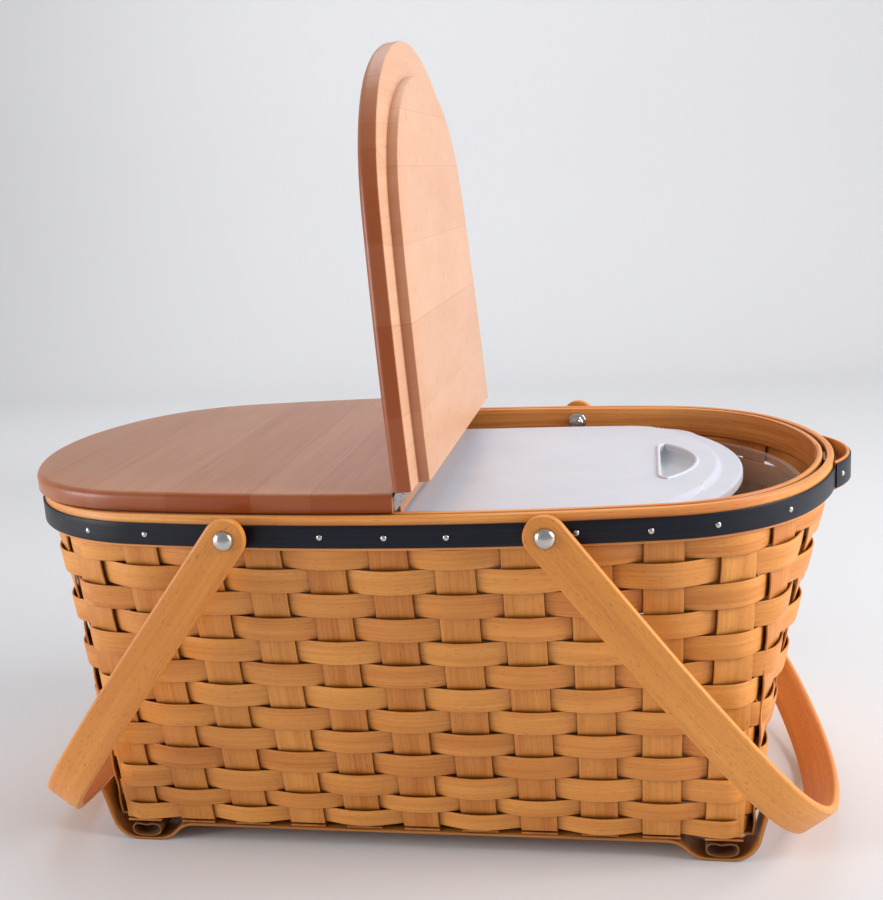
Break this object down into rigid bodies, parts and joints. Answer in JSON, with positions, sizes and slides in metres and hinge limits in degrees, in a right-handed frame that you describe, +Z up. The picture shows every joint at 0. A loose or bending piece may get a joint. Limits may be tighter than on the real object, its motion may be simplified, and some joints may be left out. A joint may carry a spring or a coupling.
{
  "type": "lidded picnic basket",
  "caption": "Oval woven-splint picnic basket on curled foot runners, with bent-wood swing handles, a half-hinged board lid, a clear liner and a covered divided tray.",
  "frame": {"origin": "on the table, under the middle of the basket's length and depth", "axes": "+X along the length towards the open half, +Y from the front to the back, +Z up"},
  "size_m": [0.5278, 0.3286, 0.4823],
  "materials": {
    "honey_splint": "honey-stained maple splint, satin",
    "band_wood": "honey-stained bent maple, satin",
    "navy_stain": "navy-stained splint, satin",
    "handle_wood": "steam-bent maple, satin",
    "board_wood": "glued-up hardwood board, satin lacquer",
    "bright_fittings": "bright plated",
    "spacer_plastic": "plain",
    "hinge_steel": "nickel plated",
    "clear_plastic": "clear vacuum-formed sheet",
    "frosted_plastic": "translucent moulded",
    "milky_plastic": "milky translucent moulded"
  },
  "bodies": {
    "basket": {"floor_cross_splints": "honey_splint", "floor_long_splints": "honey_splint", "front_uprights": "honey_splint", "back_uprights": "honey_splint", "left_uprights": "honey_splint", "right_uprights": "honey_splint", "front_runner": "honey_splint", "back_runner": "honey_splint", "foot_loops": "honey_splint", "weaver_row_01": "honey_splint", "weaver_row_02": "honey_splint", "weaver_row_03": "honey_splint", "weaver_row_04": "honey_splint", "weaver_row_05": "honey_splint", "weaver_row_06": "honey_splint", "weaver_row_07": "honey_splint", "weaver_row_08": "honey_splint", "weaver_row_09": "honey_splint", "weaver_row_10": "honey_splint", "weaver_row_11": "honey_splint", "weaver_row_12": "honey_splint", "weaver_row_13": "honey_splint", "outer_band": "band_wood", "inner_band": "band_wood", "left_end_loop": "band_wood", "right_end_loop": "band_wood", "trim_band": "navy_stain", "left_end_facing": "navy_stain", "right_end_facing": "navy_stain", "pivot_bolts": "bright_fittings", "pivot_nuts": "bright_fittings", "pivot_washers": "bright_fittings", "pivot_spacers": "spacer_plastic"},
    "left_handle": {"left_handle": "handle_wood"},
    "right_handle": {"right_handle": "handle_wood"},
    "liner": {"liner_tub": "clear_plastic"},
    "tray": {"divided_tray": "frosted_plastic"},
    "cover": {"tray_cover": "milky_plastic"},
    "left_lid": {"left_lid_board": "board_wood", "left_hinge_leaf": "hinge_steel", "hinge_pin": "hinge_steel"},
    "right_lid": {"right_lid_board": "board_wood", "right_hinge_leaf": "hinge_steel"}
  },
  "joints": [
    {"name": "right_handle_swing", "type": "hinge", "parent": "basket", "child": "right_handle", "pos_m": [0.08758, 0, 0.215], "axis": [0, -1, 0], "range_deg": [0, 142.4]},
    {"name": "left_handle_swing", "type": "hinge", "parent": "basket", "child": "left_handle", "pos_m": [-0.08758, 0, 0.215], "axis": [0, 1, 0], "range_deg": [0, 142.4]},
    {"name": "liner_lift", "type": "slide", "parent": "basket", "child": "liner", "axis": [0, 0, 1], "range_m": [0, 0.02]},
    {"name": "tray_lift", "type": "slide", "parent": "liner", "child": "tray", "axis": [0, 0, 1], "range_m": [0, 0.02]},
    {"name": "cover_lift", "type": "slide", "parent": "tray", "child": "cover", "axis": [0, 0, 1], "range_m": [0, 0.015]},
    {"name": "lid_lift", "type": "slide", "parent": "cover", "child": "left_lid", "axis": [0, 0, 1], "range_m": [0, 0.02]},
    {"name": "lid_hinge", "type": "hinge", "parent": "left_lid", "child": "right_lid", "pos_m": [0.008, 0, 0.2333], "axis": [0, 1, 0], "range_deg": [0, 93.6]}
  ]
}
